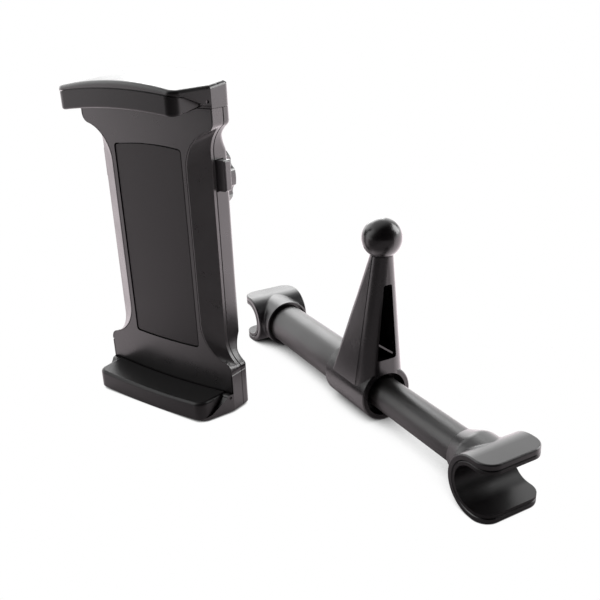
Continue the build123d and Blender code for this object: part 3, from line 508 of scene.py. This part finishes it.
# Painted shade: ambient occlusion dims the paper's painted glow round the object.
near = add(tree, "ShaderNodeAmbientOcclusion", {"Distance": shade_reach}, samples=shade_rays)
painted_shade = add(
    tree,
    "ShaderNodeMapRange",
    {
        "Value": near.outputs["AO"],
        "From Min": shaded,
        "From Max": unshaded,
        "To Min": shade_least,
    },
)
for share in (from_right, painted_shade):
    painted_light = add(
        tree, "ShaderNodeMath", {0: painted_light.outputs[0], 1: share.outputs[0]}, operation="MULTIPLY"
    )
# Painted contact shadow: ambient occlusion darkens the camera's plain white where the object nearly
# touches the paper.
contact = add(
    tree, "ShaderNodeAmbientOcclusion", {"Distance": contact_reach}, samples=contact_rays
)
painted_contact = add(
    tree,
    "ShaderNodeMapRange",
    {"Value": contact.outputs["AO"], "From Min": touching, "From Max": apart},
    interpolation_type="SMOOTHSTEP",
)
# A Mix node's factor is socket 0, its numbers are sockets 2 and 3, and its colours 6 and 7.
strength = add(
    tree,
    "ShaderNodeMix",
    {0: ray.outputs["Is Camera Ray"], 2: painted_light.outputs[0], 3: painted_contact.outputs[0]},
)
tint = add(
    tree,
    "ShaderNodeMix",
    {0: ray.outputs["Is Camera Ray"], 6: linear("#fff4f8"), 7: paper_white},
    data_type="RGBA",
)
# The paper glows though it is no lamp: painted light and painted shade in reflections, and a
# painted contact shadow for the camera.
painted_glow = add(
    tree, "ShaderNodeEmission", {"Color": tint.outputs[2], "Strength": strength.outputs[0]}
)
matt = add(tree, "ShaderNodeBsdfDiffuse", {"Color": linear("#f4f4f4")})
sheet = add(
    tree,
    "ShaderNodeMixShader",
    {0: ray.outputs["Is Diffuse Ray"], 1: painted_glow.outputs[0], 2: matt.outputs[0]},
)
tree.links.new(sheet.outputs[0], tree.nodes["Material Output"].inputs["Surface"])
floor.data.materials.append(paper)

# Room: a broad bank of light on the left behind the object, and the paper's far sweep.
# Overhead the bank fades, and towards the camera the room is dark, so the fronts stay black.
# The bank's middle lies 35 degrees to the left of straight behind, and 30 degrees up.
bank_way = (back_way * 0.82 - right_way * 0.57) * 0.866 + Vector((0, 0, 0.5))
# These ends are cosines of the angle to the bank or to straight behind, or sines of the height.
bank_edge, bank_core = 0.15, 0.75
bank_dark, bank_bright = 0.03, 2.8
overhead_from, overhead_to = 0.5, 0.85
overhead_share = 0.4
sweep_low, sweep_high = 0.02, 0.3
sweep_bright = 2.6
front_end, back_start = -0.6, -0.05
camera_white = 1.0
world = bpy.data.worlds.new("white studio")
world.use_nodes = True
bpy.context.scene.world = world
tree = world.node_tree
way = add(tree, "ShaderNodeTexCoord", {}).outputs["Generated"]
height = add(tree, "ShaderNodeSeparateXYZ", {0: way})
facing = add(tree, "ShaderNodeVectorMath", {0: way, 1: bank_way}, operation="DOT_PRODUCT")
bank = add(
    tree,
    "ShaderNodeMapRange",
    {
        "Value": facing.outputs["Value"],
        "From Min": bank_edge,
        "From Max": bank_core,
        "To Min": bank_dark,
        "To Max": bank_bright,
    },
    interpolation_type="SMOOTHSTEP",
)
overhead = add(
    tree,
    "ShaderNodeMapRange",
    {
        "Value": height.outputs["Z"],
        "From Min": overhead_from,
        "From Max": overhead_to,
        "To Min": 1.0,
        "To Max": overhead_share,
    },
    interpolation_type="SMOOTHSTEP",
)
bank = add(
    tree, "ShaderNodeMath", {0: bank.outputs[0], 1: overhead.outputs[0]}, operation="MULTIPLY"
)
sweep = add(
    tree,
    "ShaderNodeMapRange",
    {
        "Value": height.outputs["Z"],
        "From Min": sweep_low,
        "From Max": sweep_high,
        "To Min": sweep_bright,
        "To Max": 0.0,
    },
    interpolation_type="SMOOTHSTEP",
)
behind = add(tree, "ShaderNodeVectorMath", {0: way, 1: back_way}, operation="DOT_PRODUCT")
beyond = add(
    tree,
    "ShaderNodeMapRange",
    {"Value": behind.outputs["Value"], "From Min": front_end, "From Max": back_start},
    interpolation_type="SMOOTHSTEP",
)
sweep = add(
    tree, "ShaderNodeMath", {0: sweep.outputs[0], 1: beyond.outputs[0]}, operation="MULTIPLY"
)
room = add(
    tree, "ShaderNodeMath", {0: bank.outputs[0], 1: sweep.outputs[0]}, operation="MAXIMUM"
)
ray = add(tree, "ShaderNodeLightPath", {})
strength = add(
    tree, "ShaderNodeMix", {0: ray.outputs["Is Camera Ray"], 2: room.outputs[0], 3: camera_white}
)
background = tree.nodes["Background"]
background.inputs["Color"].default_value = paper_white
tree.links.new(strength.outputs[0], background.inputs["Strength"])

# Softboxes: a lamp at the right, above the ball, which draws the rounded edges,
# and a small one behind the left hook, over that end of the bar.
aim_at = Vector((0.06, 0.02, 0.06))
right_side_way = back_way * 0.28 + right_way * 0.96
right_reach = 0.8
right_rise = Vector((0, 0, 0.39))
right_spot = aim_at + right_side_way * right_reach + right_rise
left_spot = Vector((-0.147, 0.287, 0.26))
for name, spot, width, power in (
    ("right softbox", right_spot, 0.5, 6.0),
    ("left softbox", left_spot, 0.25, 0.85),
):
    bpy.ops.object.light_add(type="AREA", location=spot)
    softbox = bpy.context.object
    softbox.name = name
    softbox.data.size = width
    softbox.data.energy = power
    softbox.rotation_euler = (aim_at - spot).to_track_quat("-Z", "Y").to_euler()

# Camera: as the photograph was taken, from the front right and above.
# Its place and focal length were fitted to the object's corners in the photograph.
eye = Vector((234.7, -219.2, 171.43)) * MM
pan = math.radians(35.61)
tilt = math.radians(90 - 21.87)
roll = math.radians(-2.05)
sensor_mm = 36.0
photo_px = 600
focal_px = 733.03
bpy.ops.object.camera_add()
camera = bpy.context.object
camera.data.sensor_width = sensor_mm
camera.data.lens = sensor_mm * focal_px / photo_px
camera.data.clip_start = 10 * MM
camera.matrix_world = (
    Matrix.Translation(eye)
    @ Matrix.Rotation(pan, 4, "Z")
    @ Matrix.Rotation(tilt, 4, "X")
    @ Matrix.Rotation(roll, 4, "Z")
)
bpy.context.scene.camera = camera
bpy.context.scene.view_settings.view_transform = "Standard"
